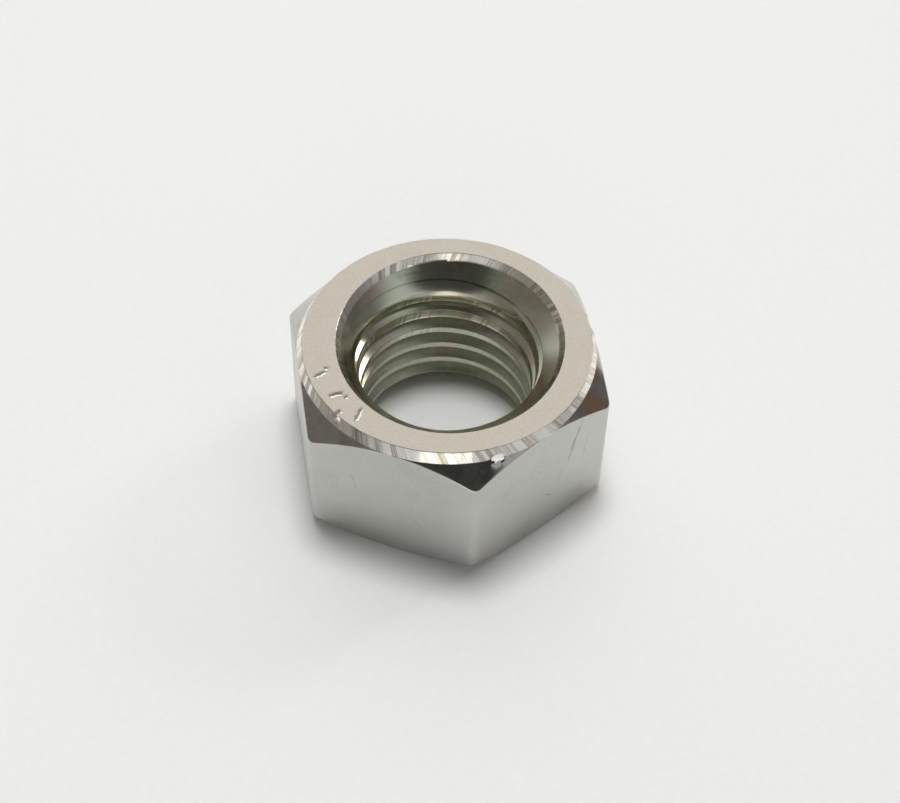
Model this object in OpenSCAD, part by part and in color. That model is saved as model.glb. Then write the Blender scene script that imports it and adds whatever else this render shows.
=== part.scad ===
// Plain hexagon nut for a metric coarse thread, chamfered on both sides.
// It rests on z = 0 with the thread's axis on Z, and two corners of the hexagon lie on X.
// The thread is drawn as its plain hole at the crests, the size drilled before tapping.

/* [Body] */
// Width across flats, the size of the spanner
across_flats = 46; // [42:0.5:60]
// Height of the nut
nut_h = 24; // [18:0.5:36]
// How much the upright edges are blunted, measured towards the axis
edge_blunt = 0.26; // [0.1:0.02:0.6]

/* [Thread] */
// Nominal diameter of the thread
thread_d = 30; // [20:0.5:33]
// Pitch of the thread
pitch = 3.5; // [2:0.25:4.5]
// Clearance that widens the crests beyond the basic minor diameter
crest_gap = 0.29; // [0.1:0.01:0.6]

/* [Top side] */
// Width of the steep rim round the top face
top_rim_w = 1; // [0.4:0.1:2]
// Height of the steep rim round the top face
top_rim_h = 1.4; // [0.5:0.1:2.5]
// Slope of the corner chamfer, in degrees from the horizontal
top_slope = 39; // [15:1:45]
// How much wider the mouth is than the thread, all across
mouth_wide = 6; // [2:0.2:8]
// Width of the rim inside the top face
mouth_rim_w = 0.85; // [0.3:0.05:1]
// Height of the rim inside the top face
mouth_rim_h = 1.1; // [0.3:0.1:2]
// Angle between the two sides of the countersink
mouth_angle = 95; // [90:5:130]

/* [Underside] */
// Width of the flat bottom face that the corner chamfer takes off at the flats
bottom_rim_w = 0.3; // [0.1:0.1:1]
// Slope of the corner chamfer, in degrees from the horizontal
bottom_slope = 25; // [10:1:30]
// How much wider the bottom countersink is than the thread, all across
bottom_wide = 1; // [0.6:0.1:3]
// Angle between the two sides of the bottom countersink
bottom_angle = 90; // [60:5:120]

/* [Marks] */
// Number of plain punch marks on the top face
mark_count = 3; // [1:1:6]
// Length of a mark, along the radius
mark_l = 1.5; // [0.8:0.1:1.8]
// Width of a mark
mark_w = 0.6; // [0.4:0.1:1.2]
// Depth of a mark
mark_depth = 0.25; // [0.1:0.05:0.5]
// Direction of the first mark
mark_start = 280; // [0:1:359]
// Angle from one mark to the next
mark_step = 14; // [6:1:30]

/* [Hidden] */
flat_r = across_flats / 2;
corner_r = flat_r / cos(30) - edge_blunt;
top_face_r = flat_r - top_rim_w;
bottom_face_r = flat_r - bottom_rim_w;
thread_r = thread_d / 2;
flank_h = pitch * sin(60);
crest_r = thread_r - 5 / 8 * flank_h + crest_gap / 2;
mouth_r = thread_r + mouth_wide / 2;
neck_r = mouth_r - mouth_rim_w;
neck_z = nut_h - mouth_rim_h;
crest_top_z = neck_z - (neck_r - crest_r) / tan(mouth_angle / 2);
bottom_mouth_r = thread_r + bottom_wide / 2;
crest_bottom_z = (bottom_mouth_r - crest_r) / tan(bottom_angle / 2);
mark_r = (top_face_r + mouth_r) / 2;
over = 1;

// Hexagonal bar with sharp upright edges
module bar() {
    cylinder(r = flat_r / cos(30), h = nut_h, $fn = 6);
}

// Turned outline that blunts the upright edges and chamfers the corners at both ends
module turned_outline() {
    bottom_rise = (corner_r - bottom_face_r) * tan(bottom_slope);
    top_drop = top_rim_h + (corner_r - flat_r) * tan(top_slope);
    rotate_extrude($fn = 144) polygon([
        [0, 0],
        [bottom_face_r, 0],
        [corner_r, bottom_rise],
        [corner_r, nut_h - top_drop],
        [flat_r, nut_h - top_rim_h],
        [top_face_r, nut_h],
        [0, nut_h]
    ]);
}

// Plain hole at the thread's crests, with its countersinks
module bore() {
    rotate_extrude($fn = 144) polygon([
        [0, -over],
        [bottom_mouth_r + over * tan(bottom_angle / 2), -over],
        [crest_r, crest_bottom_z],
        [crest_r, crest_top_z],
        [neck_r, neck_z],
        [mouth_r, nut_h],
        [mouth_r, nut_h + over],
        [0, nut_h + over]
    ]);
}

// Short plain punch marks, in a row on the top face
module marks() {
    for (i = [0:mark_count - 1]) {
        rotate([0, 0, mark_start + i * mark_step])
            translate([mark_r - mark_l / 2, -mark_w / 2, nut_h - mark_depth])
                cube([mark_l, mark_w, mark_depth + over]);
    }
}

module hex_nut() {
    color("silver") difference() {
        intersection() {
            bar();
            turned_outline();
        }
        bore();
        marks();
    }
}

hex_nut();
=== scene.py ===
"""Plain hexagon nut lying flat on white paper, seen from above and in front of one corner."""

import functools
import math

import bmesh
import bpy
import numpy as np
from mathutils import Matrix, Vector


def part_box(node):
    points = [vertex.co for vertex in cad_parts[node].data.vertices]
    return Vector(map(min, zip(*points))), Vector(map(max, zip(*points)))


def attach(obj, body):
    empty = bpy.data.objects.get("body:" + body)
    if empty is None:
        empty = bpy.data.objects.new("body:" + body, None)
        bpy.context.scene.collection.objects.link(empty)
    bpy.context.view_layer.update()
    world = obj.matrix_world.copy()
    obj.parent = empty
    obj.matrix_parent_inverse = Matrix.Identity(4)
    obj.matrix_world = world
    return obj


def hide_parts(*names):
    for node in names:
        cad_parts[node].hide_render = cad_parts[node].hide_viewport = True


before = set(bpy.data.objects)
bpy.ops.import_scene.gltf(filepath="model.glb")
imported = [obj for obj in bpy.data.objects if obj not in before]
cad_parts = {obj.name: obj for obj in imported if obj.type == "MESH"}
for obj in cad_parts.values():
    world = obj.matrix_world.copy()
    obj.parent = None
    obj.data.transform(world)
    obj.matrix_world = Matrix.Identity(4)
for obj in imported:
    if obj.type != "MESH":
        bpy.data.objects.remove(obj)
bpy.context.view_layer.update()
low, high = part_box("hex_nut")

MM = 0.001
RING = 2 * math.pi

# ---------------------------------------------------------------- sizes, in millimetres

# Hexagon, from the CAD box; the corners stay a hair inside it
BOX_MARGIN = 0.01
HEIGHT = (high.z - low.z) / MM
FLAT_R = (high.y - low.y) / 2 / MM
CORNER_R = (high.x - low.x) / 2 / MM - BOX_MARGIN
EDGE_ROUND = (FLAT_R / math.cos(math.pi / 6) - CORNER_R) / (1 / math.cos(math.pi / 6) - 1)

# Thread: crests widen by CREST_TAPER per mm above CREST_TAPER_Z, and the groove's middle is at height 0
# at the azimuth THREAD_TURN
THREAD_D = 30.0
PITCH = 3.5
CREST_R = 13.25
CREST_TAPER = 0.2
CREST_TAPER_Z = 14.6
CREST_WEAR = 0.05
ROOT_CLEARANCE = 0.25
ROOT_R = THREAD_D / 2 + ROOT_CLEARANCE
ROOT_W = 0.149
THREAD_TURN = math.radians(155)
FLANK_SLOPE = 1 / math.tan(math.radians(30))

# Top: the outer rim is widest at RIM_WIDEST and loses RIM_LOSS_W and RIM_LOSS_H on the far side
TOP_FACE_R = 22.0
TOP_RIM_H = 1.4
RIM_WIDEST = math.radians(-20)
RIM_LOSS_W = 0.6
RIM_LOSS_H = 0.5
TOP_SLOPE = math.tan(math.radians(39))

# Mouth: shifted and out of round, towards the two directions given
MOUTH_R = 18.2
MOUTH_RIM_W = 0.85
MOUTH_RIM_H = 1.1
MOUTH_SHIFT = 0.75
MOUTH_SHIFT_TO = math.radians(125)
MOUTH_OVAL = 0.6
MOUTH_OVAL_TO = math.radians(-14)
CONE_SLOPE = math.tan(math.radians(47.5))

BOTTOM_FACE_R = 22.7
BOTTOM_SLOPE = math.tan(math.radians(25))
BOTTOM_MOUTH_R = 15.5

# How softly surfaces run into each other: cone into crests, countersink into hole, start of the taper
CONE_BLEND, SINK_BLEND, TAPER_BLEND = 0.12, 0.05, 0.5

# Punch strokes, dots and a nick in the top face: radius, azimuth and lean from the radius in degrees,
# and half length
MARKS = [
    (20.3, -79.4, 15, 0.80),
    (19.1, -82.0, 0, 0.08),
    (19.8, -66.0, -15, 0.85),
    (18.9, -62.5, 0, 0.10),
    (19.8, -51.0, 20, 1.05),
    (21.9, -57.5, 10, 0.60),
]
MARK_W, MARK_DEPTH = 0.30, 0.20
MARKS_MIDDLE, MARKS_REACH = math.radians(-66), math.radians(19)

# Burrs and dents on the rim: azimuth in degrees, radius, height on the nut, size, and lift, which is
# below zero for a dent
BURRS = [
    (7.9, 23.3, 22.5, 0.55, 0.32),
    (11.5, 23.4, 22.3, 0.40, 0.18),
    (-55.5, 22.5, 23.4, 0.35, -0.20),
    (142.4, 21.9, 23.9, 0.30, -0.10),
]
BURR_OUTWARD, BURR_UPWARD = 0.75, 0.6

# Painted highlight: the glint of a burr at the front of the outer rim, laid into the colour: azimuth,
# radius, height, size, flatness
BURR_GLINT = (9.4, 23.2, 22.72, 1.25, 2.4)
BURR_GLINT_COLOUR = (0.98, 0.95, 0.90)

# Scratches: direction of the flat in degrees, place along the flat and height of both ends, width
SCRATCHES = [
    (30, 6.9, 19.6, 5.3, 13.8, 0.17),
    (30, 6.1, 17.8, 5.6, 15.9, 0.14),
    (30, 7.4, 21.0, 7.0, 19.5, 0.12),
    (30, 4.2, 12.6, 3.4, 9.8, 0.06),
    (30, 1.0, 8.2, 2.0, 7.4, 0.08),
    (30, 8.8, 16.0, 8.3, 11.5, 0.06),
    (-30, -6.5, 15.5, -5.8, 12.5, 0.05),
    (-30, 3.5, 9.0, 4.6, 7.5, 0.05),
]

# Painted highlights on the upper crests, bright bands laid into the colour: azimuth, inner and outer
# half width in degrees
CREST_GLINTS = [(192, 11, 16), (141, 9, 14), (243, 12, 20)]

# Mesh: columns round the nut, turns of thread that are laid out, and vertices this close are merged
COLUMNS = 576
TURNS = range(-1, 9)
MERGE = 0.0005 * MM


# ---------------------------------------------------------------- shape

def smooth_max(a, b, k):
    """The larger of a and b, rounded over about k where they cross."""
    return (a + b + np.sqrt((a - b) ** 2 + k * k)) / 2


def wrap(angle):
    """Angle brought to between minus and plus half a turn."""
    return (angle + math.pi) % RING - math.pi


def azimuths():
    """Azimuth of each column: closer together at the upright edges and across the punch marks."""
    samples, edge_width = 40001, math.radians(1.6)
    more_at_edges, more_at_marks = 5, 2.2
    t = np.linspace(0, RING, samples)
    weight = np.ones_like(t)
    for k in range(6):
        weight += more_at_edges * np.exp(-(wrap(t - k * RING / 6) / edge_width) ** 2)
    weight += more_at_marks * (np.abs(wrap(t - MARKS_MIDDLE)) < MARKS_REACH)
    total = np.concatenate([[0], np.cumsum((weight[1:] + weight[:-1]) / 2)])
    return np.interp(np.arange(COLUMNS) / COLUMNS * total[-1], total, t)


def hex_radius(t):
    """Distance from the axis to the six-sided outline, with its upright edges rounded."""
    off = np.abs(wrap(t * 6) / 6)
    centre = (FLAT_R - EDGE_ROUND) / math.cos(math.pi / 6)
    inside = np.maximum(EDGE_ROUND ** 2 - (centre * np.sin(off)) ** 2, 0)
    rounded = centre * np.cos(off) + np.sqrt(inside)
    flat = FLAT_R / np.cos(math.pi / 6 - off)
    tangent = math.atan2(EDGE_ROUND * math.sin(math.pi / 6),
                         centre + EDGE_ROUND * math.cos(math.pi / 6))
    return np.where(off < tangent, rounded, flat)


def facets(t, seed, lowest, highest, height):
    """Chatter left by a tool: straight facets of uneven length round a ring, as a height."""
    rng = np.random.default_rng(seed)
    knots = [0.0]
    while knots[-1] < RING:
        knots.append(knots[-1] + math.radians(rng.uniform(lowest, highest)))
    knots = np.array(knots[:-1] + [RING])
    heights = rng.uniform(-height, 0, len(knots))
    heights[-1] = heights[0]
    return np.interp(t % RING, knots, heights)


def mouth_shift(t):
    """The mouth was cut slightly off the thread's axis and a little out of round."""
    return MOUTH_SHIFT * np.cos(t - MOUTH_SHIFT_TO) + MOUTH_OVAL * np.cos(2 * (t - MOUTH_OVAL_TO))


def mouth_offset(t, z):
    """Share of the mouth's shift that is left at height z: none where the cone meets the thread."""
    start = HEIGHT - MOUTH_RIM_H - (MOUTH_R - MOUTH_RIM_W - CREST_R) / CONE_SLOPE
    share = np.clip((z - start) / (HEIGHT - MOUTH_RIM_H - start), 0, 1)
    return share * mouth_shift(t)


def bore_radius(t, z):
    """Radius of the plain hole: countersink, crests with a taper near the top, cone."""
    crest = CREST_R + CREST_TAPER * smooth_max(z - CREST_TAPER_Z, 0 * z, TAPER_BLEND)
    cone = MOUTH_R - MOUTH_RIM_W - (HEIGHT - MOUTH_RIM_H - z) * CONE_SLOPE
    sink = BOTTOM_MOUTH_R - z
    return smooth_max(smooth_max(cone, crest, CONE_BLEND), sink, SINK_BLEND) + mouth_offset(t, z)


def groove_radius(t, z, turn):
    """Radius of one turn of the groove, sharp-sided with a narrow root."""
    centre = PITCH * ((t - THREAD_TURN) / RING + turn)
    return ROOT_R - np.maximum(np.abs(z - centre) - ROOT_W / 2, 0) * FLANK_SLOPE


def thread_radius(t, z, turn):
    """Radius of the finished hole near one turn of the groove."""
    worn = CREST_WEAR * (1 + 0.5 * np.sin(5 * t + turn))
    return smooth_max(bore_radius(t, z), groove_radius(t, z, turn), worn)


def flank_edge(t, turn, side):
    """Height at which one side of the groove meets the plain hole, found by halving the gap."""
    nearly_half, halvings = 0.49, 30
    centre = PITCH * ((t - THREAD_TURN) / RING + turn)
    near, far = centre + side * ROOT_W / 2, centre + side * PITCH * nearly_half
    for _ in range(halvings):
        middle = (near + far) / 2
        open_here = groove_radius(t, middle, turn) > bore_radius(t, middle)
        near, far = np.where(open_here, middle, near), np.where(open_here, far, middle)
    return (near + far) / 2


def bore_grid(t):
    """Rows of (radius, height) that follow the helix, and how many of them each turn has."""
    crest_row, root_row = 0.07, 0.03
    rows = []
    top = HEIGHT - MOUTH_RIM_H
    for turn in TURNS:
        centre = PITCH * ((t - THREAD_TURN) / RING + turn)
        lower, upper = flank_edge(t, turn, -1), flank_edge(t, turn, 1)
        start, end = centre - PITCH / 2, centre + PITCH / 2
        edge = np.minimum(crest_row, (lower - start) * 0.4)
        heights = [
            start,
            (start + lower - edge) / 2,
            lower - edge,
            lower,
            lower + edge,
            (lower + centre) / 2,
            centre - ROOT_W / 2 - root_row,
            centre,
            centre + ROOT_W / 2 + root_row,
            (upper + centre) / 2,
            upper - edge,
            upper,
            upper + edge,
            (end + upper + edge) / 2,
        ]
        for z in heights:
            z = np.clip(z, 0, top)
            inside = (z > 0) & (z < top)
            rows.append((np.where(inside, thread_radius(t, z, turn), bore_radius(t, z)), z))
    return np.array(rows), len(heights)


def corner_points(before, corner, after, reach):
    """Five points that round one corner of the outline, starting and ending at most reach away."""
    def towards(other):
        way = other - corner
        length = np.maximum(np.linalg.norm(way, axis=0), 1e-9)
        return way / length * np.minimum(reach, 0.45 * length)
    a, b = corner + towards(before), corner + towards(after)
    return [a * (1 - s) ** 2 + 2 * corner * s * (1 - s) + b * s * s for s in (0, 0.25, 0.5, 0.75, 1)]


def outer_grid(t):
    """Rows from the bottom rim of the hole, round the outside, to the top rim of the hole.

    Each point below is radius, height, rounding, steps to the next point, and the kind of surface
    before it.
    """
    ones = np.ones_like(t)
    reach = hex_radius(t)
    top = HEIGHT - MOUTH_RIM_H
    rim = facets(t, 11, 1.6, 4.6, 0.07)
    inner = facets(t, 12, 1.2, 4.0, 0.06)
    mouth = MOUTH_R + mouth_shift(t)
    narrow = (1 - np.cos(t - RIM_WIDEST)) / 2
    rim_h = TOP_RIM_H - RIM_LOSS_H * narrow
    top_face_r = TOP_FACE_R + RIM_LOSS_W * narrow
    points = [
        (bore_radius(t, 0 * t), 0 * t, 0, 4, "face"),
        (BOTTOM_FACE_R * ones, 0 * t, 0.25, 4, "face"),
        (reach, (reach - BOTTOM_FACE_R) * BOTTOM_SLOPE, 0.3, 14, "chamfer"),
        (reach, HEIGHT - TOP_RIM_H - (reach - FLAT_R) * TOP_SLOPE, 0.22, 7, "flat"),
        (FLAT_R + rim * 0.6, HEIGHT - rim_h + rim * 0.3, 0.12, 4, "chamfer"),
        (top_face_r + rim, HEIGHT * ones, 0.10, 14, "rim"),
        (mouth + inner * 0.5, HEIGHT * ones, 0.08, 4, "face"),
        (bore_radius(t, top * ones), top * ones, 0, 0, "rim"),
    ]
    kinds = [p[4] for p in points][1:]
    rows, row_kinds = [np.array(points[0][:2])], []
    for i in range(1, len(points)):
        here = np.array(points[i][:2])
        before = np.array(points[i - 1][:2])
        if i < len(points) - 1:
            bend = corner_points(before, here, np.array(points[i + 1][:2]), points[i][2])
        else:
            bend = [here]
        last = rows[-1]
        steps = points[i - 1][3]
        for s in range(1, steps):
            rows.append(last + (bend[0] - last) * s / steps)
            row_kinds.append(kinds[i - 1])
        rows.append(bend[0])
        row_kinds.append(kinds[i - 1])
        for k, point in enumerate(bend[1:]):
            rows.append(point)
            row_kinds.append(kinds[i - 1] if k < 2 else kinds[i])
    return np.array(rows), row_kinds


def press_marks(t, rows):
    """Plain punch strokes, dots and a nick in the top face, and burrs and small dents on the rim."""
    r, z = rows[:, 0], rows[:, 1]
    for mark_r, azimuth, lean, half in MARKS:
        across = r * wrap(t - math.radians(azimuth))
        along = r - mark_r
        lean = math.radians(lean)
        u = along * math.cos(lean) + across * math.sin(lean)
        v = across * math.cos(lean) - along * math.sin(lean)
        far = np.hypot(np.maximum(np.abs(u) - half, 0), v)
        dip = MARK_DEPTH * np.exp(-(far / MARK_W) ** 2)
        z = np.where(z > HEIGHT - 0.2, z - dip, z)
    for azimuth, at_r, at_z, size, height in BURRS:
        across = r * wrap(t - math.radians(azimuth))
        far = np.sqrt(across ** 2 + (r - at_r) ** 2 + (z - at_z) ** 2)
        lift = height * np.exp(-(far / size) ** 2)
        r = r + lift * BURR_OUTWARD
        z = np.minimum(z + lift * BURR_UPWARD, HEIGHT)
    return np.stack([r, z], axis=1)


def nut_mesh():
    """The whole nut as one mesh, with a material number on each face.

    A row of the bore rises by one pitch as it goes round, so its last column joins the first column
    one turn's rows further on.
    """
    t = azimuths()
    outer, kinds = outer_grid(t)
    outer = press_marks(t, outer)
    bore, per_turn = bore_grid(t)

    def to_points(rows):
        r, z = rows[:, 0], rows[:, 1]
        return np.stack([r * np.cos(t), r * np.sin(t), z], axis=-1).reshape(-1, 3) * MM

    n = len(t)
    number = {"face": 0, "rim": 1, "chamfer": 2, "flat": 3, "thread": 4}
    faces, slots = [], []
    for j in range(len(outer) - 1):
        slot = number[kinds[j]]
        for c in range(n):
            d = (c + 1) % n
            faces.append((j * n + c, j * n + d, (j + 1) * n + d, (j + 1) * n + c))
            slots.append(slot)
    base = len(outer) * n
    last = len(bore) - 1
    for j in range(last):
        for c in range(n):
            if c < n - 1:
                a, b, e, f = j * n + c, j * n + c + 1, (j + 1) * n + c + 1, (j + 1) * n + c
            else:
                shifted = min(j + per_turn, last), min(j + 1 + per_turn, last)
                a, b, e, f = j * n + c, shifted[0] * n, shifted[1] * n, (j + 1) * n + c
            faces.append((base + a, base + f, base + e, base + b))
            slots.append(number["thread"])
    points = np.concatenate([to_points(outer), to_points(bore)])
    mesh = bpy.data.meshes.new("hex_nut_steel")
    mesh.from_pydata(points.tolist(), [], faces)
    mesh.polygons.foreach_set("material_index", slots)
    work = bmesh.new()
    work.from_mesh(mesh)
    bmesh.ops.remove_doubles(work, verts=work.verts, dist=MERGE)
    bmesh.ops.dissolve_degenerate(work, edges=work.edges, dist=MERGE)
    loose = [v for v in work.verts if not v.link_faces]
    bmesh.ops.delete(work, geom=loose, context="VERTS")
    bmesh.ops.recalc_face_normals(work, faces=work.faces)
    work.to_mesh(mesh)
    work.free()
    mesh.polygons.foreach_set("use_smooth", [True] * len(mesh.polygons))
    set_area_normals(mesh)
    return mesh


def set_area_normals(mesh):
    """Vertex normals weighted by face area, so that large faces stay flat up to their rounded edges."""
    count = len(mesh.polygons)
    normals = np.zeros(count * 3)
    mesh.polygons.foreach_get("normal", normals)
    areas = np.zeros(count)
    mesh.polygons.foreach_get("area", areas)
    sizes = np.zeros(count, int)
    mesh.polygons.foreach_get("loop_total", sizes)
    corners = np.zeros(len(mesh.loops), int)
    mesh.loops.foreach_get("vertex_index", corners)
    weighted = np.repeat(normals.reshape(-1, 3) * areas[:, None], sizes, axis=0)
    total = np.zeros((len(mesh.vertices), 3))
    for axis in range(3):
        total[:, axis] = np.bincount(corners, weights=weighted[:, axis],
                                     minlength=len(mesh.vertices))
    total /= np.maximum(np.linalg.norm(total, axis=1), 1e-20)[:, None]
    mesh.normals_split_custom_set_from_vertices(total.tolist())


# ---------------------------------------------------------------- materials

class Shader:
    """A metal material and short names for the nodes that it is built from."""

    def __init__(self, name):
        self.material = bpy.data.materials.new(name)
        self.material.use_nodes = True
        self.tree = self.material.node_tree
        self.tree.nodes.clear()
        out = self.tree.nodes.new("ShaderNodeOutputMaterial")
        self.bsdf = self.tree.nodes.new("ShaderNodeBsdfPrincipled")
        self.tree.links.new(self.bsdf.outputs[0], out.inputs[0])
        place = self.tree.nodes.new("ShaderNodeTexCoord").outputs["Object"]
        self.place = self.scaled(place, (1000, 1000, 1000))
        split = self.tree.nodes.new("ShaderNodeSeparateXYZ")
        self.link(self.place, split.inputs[0])
        self.x, self.y, self.z = split.outputs
        self.angle = self.math("ARCTAN2", self.y, self.x)
        self.radius = self.math("SQRT", self.math("ADD", self.math("MULTIPLY", self.x, self.x),
                                                  self.math("MULTIPLY", self.y, self.y)))
        facing = self.tree.nodes.new("ShaderNodeSeparateXYZ")
        self.link(self.tree.nodes.new("ShaderNodeNewGeometry").outputs["Normal"], facing.inputs[0])
        self.upward = facing.outputs[2]

    def link(self, value, socket):
        if isinstance(value, bpy.types.NodeSocket):
            self.tree.links.new(value, socket)
        else:
            socket.default_value = value

    def scaled(self, vector, factors):
        node = self.tree.nodes.new("ShaderNodeVectorMath")
        node.operation = "MULTIPLY"
        self.link(vector, node.inputs[0])
        node.inputs[1].default_value = factors
        return node.outputs[0]

    def math(self, operation, a, b=0.0, clamp=False):
        node = self.tree.nodes.new("ShaderNodeMath")
        node.operation = operation
        node.use_clamp = clamp
        self.link(a, node.inputs[0])
        self.link(b, node.inputs[1])
        return node.outputs[0]

    def joined(self, x, y, z):
        node = self.tree.nodes.new("ShaderNodeCombineXYZ")
        for value, socket in zip((x, y, z), node.inputs):
            self.link(value, socket)
        return node.outputs[0]

    def noise(self, vector, scale, detail=2.0, rough=0.5, distortion=0.0):
        node = self.tree.nodes.new("ShaderNodeTexNoise")
        self.link(vector, node.inputs["Vector"])
        node.inputs["Scale"].default_value = scale
        node.inputs["Detail"].default_value = detail
        node.inputs["Roughness"].default_value = rough
        node.inputs["Distortion"].default_value = distortion
        return node.outputs[0]

    def most(self, values):
        """The largest of several values."""
        return functools.reduce(lambda a, b: self.math("MAXIMUM", a, b), values)

    def cells(self, value, scale):
        """A random grey for each cell along a line."""
        node = self.tree.nodes.new("ShaderNodeTexVoronoi")
        node.voronoi_dimensions = "1D"
        self.link(value, node.inputs["W"])
        node.inputs["Scale"].default_value = scale
        return self.split(node.outputs["Color"])[0]

    def split(self, colour):
        node = self.tree.nodes.new("ShaderNodeSeparateColor")
        self.link(colour, node.inputs[0])
        return node.outputs

    def along(self, x0, y0, dx, dy):
        """Distance from the point x0, y0 in the direction dx, dy."""
        shifted = self.math("MULTIPLY", self.math("SUBTRACT", self.x, x0), dx)
        return self.math("ADD", shifted, self.math("MULTIPLY", self.math("SUBTRACT", self.y, y0), dy))

    def near_azimuth(self, azimuth, inner, outer):
        """One near the azimuth, falling to nothing between inner and outer degrees away."""
        a = math.radians(azimuth)
        cosine = self.math("DIVIDE", self.along(0.0, 0.0, math.cos(a), math.sin(a)), self.radius)
        return self.step(cosine, math.cos(math.radians(outer)), math.cos(math.radians(inner)))

    def near_point(self, azimuth, radius, z, size, flatness):
        """One at a point, falling to nothing about size away, with an uneven edge."""
        a = math.radians(azimuth)
        place = (radius * math.cos(a), radius * math.sin(a))
        u = self.along(*place, -math.sin(a), math.cos(a))
        w = self.math("MULTIPLY", self.math("SUBTRACT", self.z, z), flatness)
        far = self.math("SQRT", self.math("ADD", self.math("MULTIPLY", u, u),
                                          self.math("MULTIPLY", w, w)))
        uneven = self.math("MULTIPLY", self.noise(self.place, 2.4, 3.0), size * 1.6)
        ragged = self.math("ADD", far, uneven)
        return self.step(ragged, size * 1.45, size * 1.6, 1.0, 0.0)

    def ramp(self, value, stops):
        node = self.tree.nodes.new("ShaderNodeValToRGB")
        self.link(value, node.inputs[0])
        ramp = node.color_ramp
        while len(ramp.elements) < len(stops):
            ramp.elements.new(0.5)
        for element, (position, colour) in zip(ramp.elements, stops):
            element.position = position
            element.color = (*colour, 1) if len(colour) == 3 else colour
        return node.outputs[0]

    def step(self, value, low, high, start=0.0, end=1.0):
        node = self.tree.nodes.new("ShaderNodeMapRange")
        node.interpolation_type = "SMOOTHSTEP"
        self.link(value, node.inputs[0])
        for socket, number in zip(node.inputs[1:5], (low, high, start, end)):
            socket.default_value = number
        return node.outputs[0]

    def mix(self, factor, a, b, blend="MIX"):
        node = self.tree.nodes.new("ShaderNodeMix")
        node.data_type = "RGBA"
        node.blend_type = blend
        self.link(factor, node.inputs[0])
        self.link(a if isinstance(a, bpy.types.NodeSocket) else (*a, 1), node.inputs[6])
        self.link(b if isinstance(b, bpy.types.NodeSocket) else (*b, 1), node.inputs[7])
        return node.outputs[2]

    def bump(self, height, strength, distance, before=None):
        node = self.tree.nodes.new("ShaderNodeBump")
        node.inputs["Strength"].default_value = strength
        node.inputs["Distance"].default_value = distance * MM
        self.link(height, node.inputs["Height"])
        if before is not None:
            self.link(before, node.inputs["Normal"])
        return node.outputs[0]

    def finish(self, colour, roughness, normal=None, glint_mask=None):
        """Set the metal's colour, gloss and bumps; under a painted glint it scatters light instead of
        mirroring it.
        """
        self.link(colour, self.bsdf.inputs["Base Color"])
        self.link(roughness, self.bsdf.inputs["Roughness"])
        if glint_mask is None:
            self.bsdf.inputs["Metallic"].default_value = 1.0
        else:
            metallic = self.math("SUBTRACT", 1.0, self.math("MULTIPLY", glint_mask, 0.9))
            self.link(metallic, self.bsdf.inputs["Metallic"])
        if normal is not None:
            self.link(normal, self.bsdf.inputs["Normal"])
        return self.material


def turned_face():
    """Faces cut on the lathe: fine rings, a warm cast and faint smudges, with painted shade and painted
    highlights at the punch marks.
    """
    s = Shader("steel_turned")
    rings = s.noise(s.joined(s.math("MULTIPLY", s.radius, 9.0), s.math("MULTIPLY", s.angle, 0.6), 0.0),
                    1.0, 3.0, 0.6)
    smudge = s.noise(s.place, 0.16, 3.0, 0.55)
    grain = s.noise(s.place, 3.2, 3.0, 0.65)
    colour = s.ramp(smudge, [(0.3, (0.56, 0.515, 0.455)), (0.55, (0.62, 0.575, 0.515)),
                             (0.75, (0.66, 0.615, 0.555))])
    colour = s.mix(s.step(rings, 0.35, 0.7, 0.0, 0.16), colour, (0.52, 0.47, 0.41))
    colour = s.mix(s.step(grain, 0.52, 0.68, 0.0, 0.35), colour, (0.76, 0.715, 0.65))
    colour = s.mix(s.step(grain, 0.32, 0.48, 0.35, 0.0), colour, (0.45, 0.41, 0.36))
    rough = s.math("ADD", s.step(smudge, 0.3, 0.7, 0.32, 0.42), s.math("MULTIPLY", grain, 0.06))
    # Punch marks: painted shade in the pit of each stroke and a painted highlight in a band beside it
    pit_shades, glint_bands = [], []
    for mark_r, azimuth, lean, half in MARKS:
        a, b = math.radians(azimuth), math.radians(azimuth + lean)
        place = (mark_r * math.cos(a), mark_r * math.sin(a))
        u = s.along(*place, math.cos(b), math.sin(b))
        v = s.along(*place, -math.sin(b), math.cos(b))
        end = s.math("MAXIMUM", s.math("SUBTRACT", s.math("ABSOLUTE", u), half), 0.0)
        wobble = s.math("MULTIPLY", s.math("SUBTRACT", s.noise(s.place, 1.4, 2.0), 0.5), 0.7)
        v = s.math("ADD", v, wobble)
        beside = s.math("ABSOLUTE", s.math("SUBTRACT", v, 0.34))
        pit_shades.append(s.step(s.math("ADD", end, s.math("ABSOLUTE", v)), 0.06, 0.22, 1.0, 0.0))
        glint_bands.append(s.step(s.math("ADD", end, beside), 0.16, 0.26, 1.0, 0.0))
    broken = s.step(s.noise(s.place, 2.2, 2.0), 0.30, 0.44)
    near_top = s.step(s.z, HEIGHT - 0.5, HEIGHT - 0.3)
    painted_glint = s.math("MULTIPLY", s.math("MULTIPLY", s.most(glint_bands), broken), near_top)
    pit_shade = s.math("MULTIPLY", s.most(pit_shades), near_top)
    # Painted shade in the pits, then painted highlights beside the strokes
    colour = s.mix(s.math("MULTIPLY", pit_shade, 0.60), colour, (0.20, 0.175, 0.15))
    colour = s.mix(painted_glint, colour, (1.0, 0.98, 0.94))
    normal = s.bump(rings, 0.25, 0.02)
    normal = s.bump(grain, 0.25, 0.03, normal)
    normal = s.bump(s.math("SUBTRACT", painted_glint, pit_shade), 0.8, 0.10, normal)
    return s.finish(colour, rough, normal, painted_glint)


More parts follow.
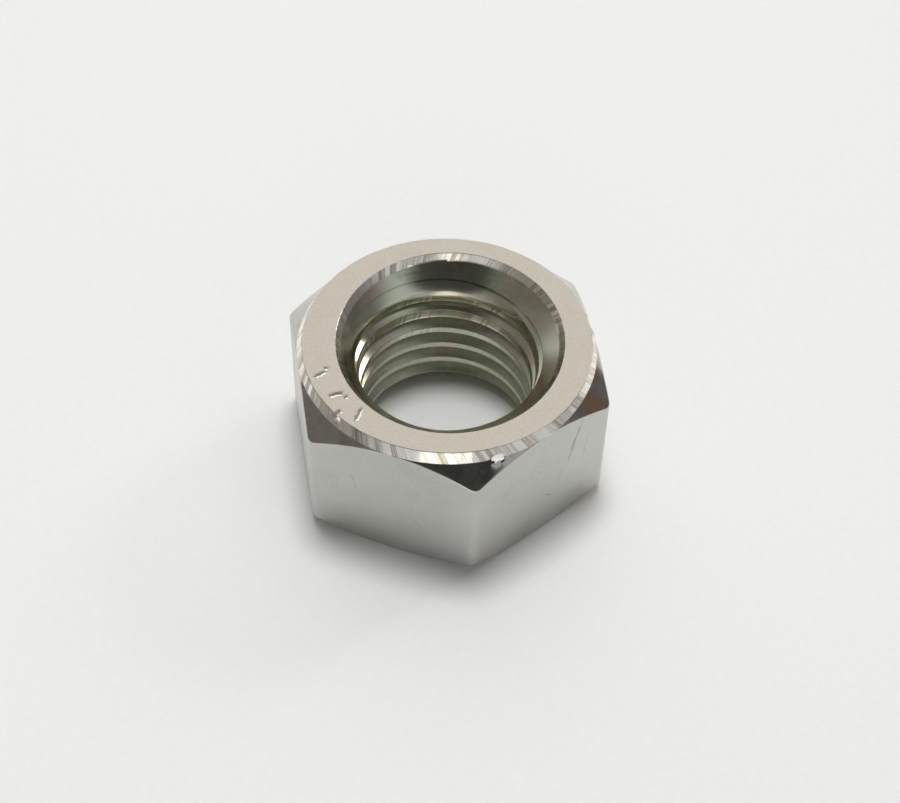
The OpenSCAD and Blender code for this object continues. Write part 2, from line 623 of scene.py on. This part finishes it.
def chattered_rim():
    """Narrow bevels with chatter strokes across them, real tool marks whose bright tones are painted
    highlights.
    """
    s = Shader("steel_rim")
    slant = s.math("ADD", s.math("MULTIPLY", s.angle, 22.0), s.math("MULTIPLY", s.z, 0.6))
    swell = s.noise(s.joined(slant, 0.0, 6.0), 0.35, 1.0)
    cells = s.cells(s.math("ADD", slant, s.math("MULTIPLY", swell, 2.0)), 1.15)
    lines = s.cells(slant, 5.5)
    fine = s.noise(s.joined(s.math("MULTIPLY", slant, 6.0), s.math("MULTIPLY", s.z, 0.2), 8.0),
                   1.0, 2.0, 0.6)
    both = s.math("ADD", s.math("MULTIPLY", cells, 0.5),
                  s.math("ADD", s.math("MULTIPLY", lines, 0.2), s.math("MULTIPLY", fine, 0.3)))
    # Chatter strokes are tool marks; their lightest tones, near white, are painted highlights
    colour = s.ramp(both, [(0.16, (0.36, 0.33, 0.28)), (0.34, (0.74, 0.70, 0.62)),
                           (0.54, (1.0, 0.975, 0.92))])
    # Painted highlight: the burr's glint at the front of the rim
    burr_glint = s.near_point(*BURR_GLINT)
    colour = s.mix(burr_glint, colour, BURR_GLINT_COLOUR)
    rough = s.step(both, 0.3, 0.6, 0.28, 0.15)
    normal = s.bump(both, 0.35, 0.08)
    return s.finish(colour, rough, normal, burr_glint)


def corner_chamfer():
    """Turned corner chamfers: smooth and glossy, with a dark olive and violet cast."""
    s = Shader("steel_chamfer")
    cloud = s.noise(s.place, 0.35, 3.0, 0.6)
    rings = s.noise(s.joined(s.math("MULTIPLY", s.radius, 6.0), s.math("MULTIPLY", s.angle, 1.5), 5.0),
                    1.0, 2.0)
    colour = s.ramp(cloud, [(0.35, (0.50, 0.475, 0.46)), (0.5, (0.60, 0.57, 0.54)),
                            (0.65, (0.52, 0.54, 0.50))])
    heat = s.math("MULTIPLY", s.near_azimuth(55, 3, 8), s.step(cloud, 0.40, 0.55))
    colour = s.mix(s.math("MULTIPLY", heat, 0.7), colour, (0.62, 0.42, 0.22))
    # Painted highlight: the burr's glint where the chamfer meets the rim
    burr_glint = s.near_point(*BURR_GLINT)
    colour = s.mix(burr_glint, colour, BURR_GLINT_COLOUR)
    rough = s.math("ADD", s.step(cloud, 0.35, 0.7, 0.10, 0.20), s.math("MULTIPLY", burr_glint, 0.55))
    normal = s.bump(rings, 0.15, 0.02)
    return s.finish(colour, rough, s.bump(burr_glint, 0.6, 0.12, normal), burr_glint)


def drawn_flat():
    """The six flats of drawn bar: satin, faint upright grain, a few thin scratches."""
    s = Shader("steel_flat")
    grain = s.noise(s.joined(s.math("MULTIPLY", s.x, 5.0), s.math("MULTIPLY", s.y, 5.0),
                             s.math("MULTIPLY", s.z, 0.7)), 1.0, 3.0, 0.6)
    cloud = s.noise(s.place, 0.12, 3.0, 0.6)
    speck = s.noise(s.place, 4.5, 2.0, 0.6)
    colour = s.ramp(cloud, [(0.3, (0.50, 0.505, 0.48)), (0.5, (0.545, 0.545, 0.52)),
                            (0.7, (0.58, 0.575, 0.555))])
    colour = s.mix(s.step(grain, 0.5, 0.8, 0.0, 0.25), colour, (0.64, 0.64, 0.63))
    colour = s.mix(s.step(speck, 0.62, 0.78, 0.0, 0.22), colour, (0.36, 0.36, 0.35))
    scratches = []
    for flat, u0, z0, u1, z1, width in SCRATCHES:
        side = math.radians(flat)
        along = s.along(0.0, 0.0, -math.sin(side), math.cos(side))
        outward = s.along(0.0, 0.0, math.cos(side), math.sin(side))
        on_flat = s.step(outward, FLAT_R - 1, FLAT_R - 0.5)
        length = math.hypot(u1 - u0, z1 - z0)
        du, dz = (u1 - u0) / length, (z1 - z0) / length
        pu, pz = s.math("SUBTRACT", along, u0), s.math("SUBTRACT", s.z, z0)
        on = s.math("ADD", s.math("MULTIPLY", pu, du), s.math("MULTIPLY", pz, dz))
        off = s.math("ABSOLUTE", s.math("SUBTRACT", s.math("MULTIPLY", pu, dz),
                                        s.math("MULTIPLY", pz, du)))
        beyond = s.math("MAXIMUM", s.math("SUBTRACT", on, length), s.math("SUBTRACT", 0.0, on))
        far = s.math("MAXIMUM", off, s.math("MULTIPLY", beyond, 0.3))
        scratches.append(s.math("MULTIPLY", s.step(far, 0.0, width, 1.0, 0.0), on_flat))
    scratch = s.math("MULTIPLY", s.most(scratches), s.step(speck, 0.3, 0.55, 0.3, 1.0))
    colour = s.mix(s.math("MULTIPLY", scratch, 0.9), colour, (0.12, 0.12, 0.12))
    rough = s.math("ADD", s.step(cloud, 0.3, 0.7, 0.26, 0.36), s.math("MULTIPLY", scratch, 0.1))
    normal = s.bump(grain, 0.20, 0.03)
    normal = s.bump(scratch, -0.5, 0.05, normal)
    return s.finish(colour, rough, normal)


def threaded_bore():
    """The cone and the thread: glossy, an olive and brown cast, tool lines along the helix, painted
    crest highlights.
    """
    s = Shader("steel_thread")
    helix = s.math("SUBTRACT", s.z, s.math("MULTIPLY", s.angle, PITCH / RING))
    lines = s.noise(s.joined(s.math("MULTIPLY", helix, 6.0), s.math("MULTIPLY", s.angle, 1.2),
                             s.math("MULTIPLY", s.radius, 4.0)), 1.0, 3.0, 0.6)
    across = s.noise(s.joined(s.math("MULTIPLY", s.angle, 14.0), s.math("MULTIPLY", s.z, 0.9), 2.0),
                     1.0, 2.0, 0.6)
    cloud = s.noise(s.place, 0.13, 3.0, 0.6)
    colour = s.ramp(cloud, [(0.32, (0.58, 0.49, 0.40)), (0.48, (0.61, 0.59, 0.49)),
                            (0.62, (0.52, 0.59, 0.43))])
    colour = s.mix(s.step(lines, 0.45, 0.75, 0.0, 0.35), colour, (0.28, 0.27, 0.23))
    colour = s.mix(s.step(across, 0.52, 0.62, 0.0, 0.35), colour, (0.72, 0.71, 0.64))
    slope = s.math("MULTIPLY", s.math("SUBTRACT", s.radius, MOUTH_R - MOUTH_RIM_W), 1 / CONE_SLOPE)
    gap = s.math("ABSOLUTE", s.math("SUBTRACT", s.math("SUBTRACT", s.z, HEIGHT - MOUTH_RIM_H), slope))
    cone = s.step(gap, 0.30, 0.45, 1.0, 0.0)
    oil = s.ramp(cloud, [(0.36, (0.78, 0.60, 0.46)), (0.5, (0.72, 0.70, 0.60)),
                         (0.62, (0.68, 0.73, 0.58))])
    colour = s.mix(cone, colour, oil)
    # Painted highlight: bright streaky bands on the upright faces of the upper crests
    crest_glint = s.most([s.near_azimuth(*part) for part in CREST_GLINTS])
    upright = s.step(s.math("ABSOLUTE", s.upward), 0.25, 0.45, 1.0, 0.0)
    strokes = s.step(s.cells(s.math("ADD", s.math("MULTIPLY", s.angle, 30.0), s.z), 1.0), 0.25, 0.45)
    crest_glint = s.math("MULTIPLY", s.math("MULTIPLY", crest_glint, upright),
                   s.math("MULTIPLY", strokes, s.step(s.z, 11.0, 15.5)))
    colour = s.mix(crest_glint, colour, (1.0, 0.99, 0.93))
    dull = s.step(s.z, 10.0, 18.0, 0.38, 0.20)
    dull = s.math("SUBTRACT", dull, s.math("MULTIPLY", s.near_azimuth(243, 14, 26), 0.09))
    rough = s.math("ADD", dull, s.math("MULTIPLY", crest_glint, -0.1))
    normal = s.bump(lines, 0.25, 0.04)
    normal = s.bump(across, 0.06, 0.06, normal)
    return s.finish(colour, rough, normal)


# ---------------------------------------------------------------- the nut

nut = bpy.data.objects.new("hex_nut_steel", nut_mesh())
bpy.context.scene.collection.objects.link(nut)
for make in (turned_face, chattered_rim, corner_chamfer, drawn_flat, threaded_bore):
    nut.data.materials.append(make())
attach(nut, "root")
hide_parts("hex_nut")

# ---------------------------------------------------------------- paper floor

def paper_floor():
    """Sheet of white paper with a faint tooth, a hair below the nut; sizes in metres."""
    size, steps, gap = 1.6, 8, 0.00002
    mesh = bpy.data.meshes.new("floor")
    grid = np.linspace(-size, size, steps + 1)
    points = [(x, y, 0.0) for y in grid for x in grid]
    row = steps + 1
    faces = [(j * row + i, j * row + i + 1, (j + 1) * row + i + 1, (j + 1) * row + i)
             for j in range(steps) for i in range(steps)]
    mesh.from_pydata(points, [], faces)
    floor = bpy.data.objects.new("floor", mesh)
    bpy.context.scene.collection.objects.link(floor)
    floor.location.z = low.z - gap
    s = Shader("paper")
    tooth = s.noise(s.place, 0.9, 4.0, 0.65)
    colour = s.ramp(tooth, [(0.3, (0.80, 0.805, 0.805)), (0.7, (0.825, 0.83, 0.828))])
    s.link(colour, s.bsdf.inputs["Base Color"])
    s.bsdf.inputs["Roughness"].default_value = 0.75
    s.bsdf.inputs["Specular IOR Level"].default_value = 0.25
    s.link(s.bump(tooth, 0.08, 0.12), s.bsdf.inputs["Normal"])
    mesh.materials.append(s.material)
    return floor


paper_floor()

# ---------------------------------------------------------------- light

def direction(azimuth, elevation):
    """Unit vector towards an azimuth and elevation in degrees."""
    a, e = math.radians(azimuth), math.radians(elevation)
    return Vector((math.cos(e) * math.cos(a), math.cos(e) * math.sin(a), math.sin(e)))


# Soft patches of the room round the nut: azimuth, elevation, inner and outer radius in degrees, colour
ROOM = [
    (170, 45, 15, 60, (1.05, 1.03, 0.995)),
    (-97, 30, 18, 50, (0.20, 0.185, 0.165)),
    (100, 22, 14, 45, (0.15, 0.135, 0.135)),
    (-10, 60, 22, 36, (0.052, 0.055, 0.052)),
    (-10, 18, 8, 18, (1.5, 1.44, 1.3)),
    (118, 29, 4, 9, (8.0, 7.7, 7.0)),
]
ROOM_BASE = (0.52, 0.525, 0.53)


def room_light():
    """Soft grey light all round: brighter behind the nut, darker at the sides and above the viewer,
    and bright in a patch low in front and a small one behind to the right."""
    world = bpy.data.worlds.new("room")
    bpy.context.scene.world = world
    world.use_nodes = True
    tree = world.node_tree
    tree.nodes.clear()
    out = tree.nodes.new("ShaderNodeOutputWorld")
    background = tree.nodes.new("ShaderNodeBackground")
    tree.links.new(background.outputs[0], out.inputs[0])
    towards = tree.nodes.new("ShaderNodeTexCoord").outputs["Generated"]
    colour = None
    for azimuth, elevation, inner, outer, patch in ROOM:
        dot = tree.nodes.new("ShaderNodeVectorMath")
        dot.operation = "DOT_PRODUCT"
        tree.links.new(towards, dot.inputs[0])
        dot.inputs[1].default_value = direction(azimuth, elevation)
        share = tree.nodes.new("ShaderNodeMapRange")
        share.interpolation_type = "SMOOTHSTEP"
        tree.links.new(dot.outputs["Value"], share.inputs[0])
        share.inputs[1].default_value = math.cos(math.radians(outer))
        share.inputs[2].default_value = math.cos(math.radians(inner))
        mix = tree.nodes.new("ShaderNodeMix")
        mix.data_type = "RGBA"
        tree.links.new(share.outputs[0], mix.inputs[0])
        if colour is None:
            mix.inputs[6].default_value = (*ROOM_BASE, 1)
        else:
            tree.links.new(colour, mix.inputs[6])
        mix.inputs[7].default_value = (*patch, 1)
        colour = mix.outputs[2]
    tree.links.new(colour, background.inputs[0])
    background.inputs[1].default_value = 1.0


def soft_light(name, azimuth, elevation, distance, size, power):
    """Round lamp that faces the nut from a direction in degrees; distance and size in metres."""
    light = bpy.data.lights.new(name, "AREA")
    light.shape = "DISK"
    light.size = size
    light.energy = power
    lamp = bpy.data.objects.new(name, light)
    bpy.context.scene.collection.objects.link(lamp)
    lamp.location = direction(azimuth, elevation) * distance
    lamp.rotation_euler = direction(azimuth, elevation).to_track_quat("Z", "Y").to_euler()
    lamp.visible_glossy = False
    return lamp


room_light()
soft_light("key", azimuth=172, elevation=80, distance=0.9, size=0.30, power=4.4)

# ---------------------------------------------------------------- camera

# Fitted to the nut's outline: place in metres, lens in millimetres
CAMERA_PLACE = (0.17966, -0.03323, 0.22149)
CAMERA_RIGHT = (0.16528, 0.98608, 0.01793)
CAMERA_FORWARD = (-0.6423, 0.12142, -0.75678)
CAMERA_LENS, CAMERA_SENSOR = 70.41, 36

camera = bpy.data.objects.new("camera", bpy.data.cameras.new("camera"))
bpy.context.scene.collection.objects.link(camera)
camera.data.lens = CAMERA_LENS
camera.data.sensor_width = CAMERA_SENSOR
camera.data.sensor_fit = "HORIZONTAL"
camera.data.clip_start = 0.01
forward = Vector(CAMERA_FORWARD).normalized()
up = Vector(CAMERA_RIGHT).cross(forward).normalized()
right = forward.cross(up).normalized()
turn = Matrix((right, up, -forward)).transposed().to_4x4()
camera.matrix_world = Matrix.Translation(CAMERA_PLACE) @ turn
bpy.context.scene.camera = camera
bpy.context.scene.view_settings.view_transform = "Standard"
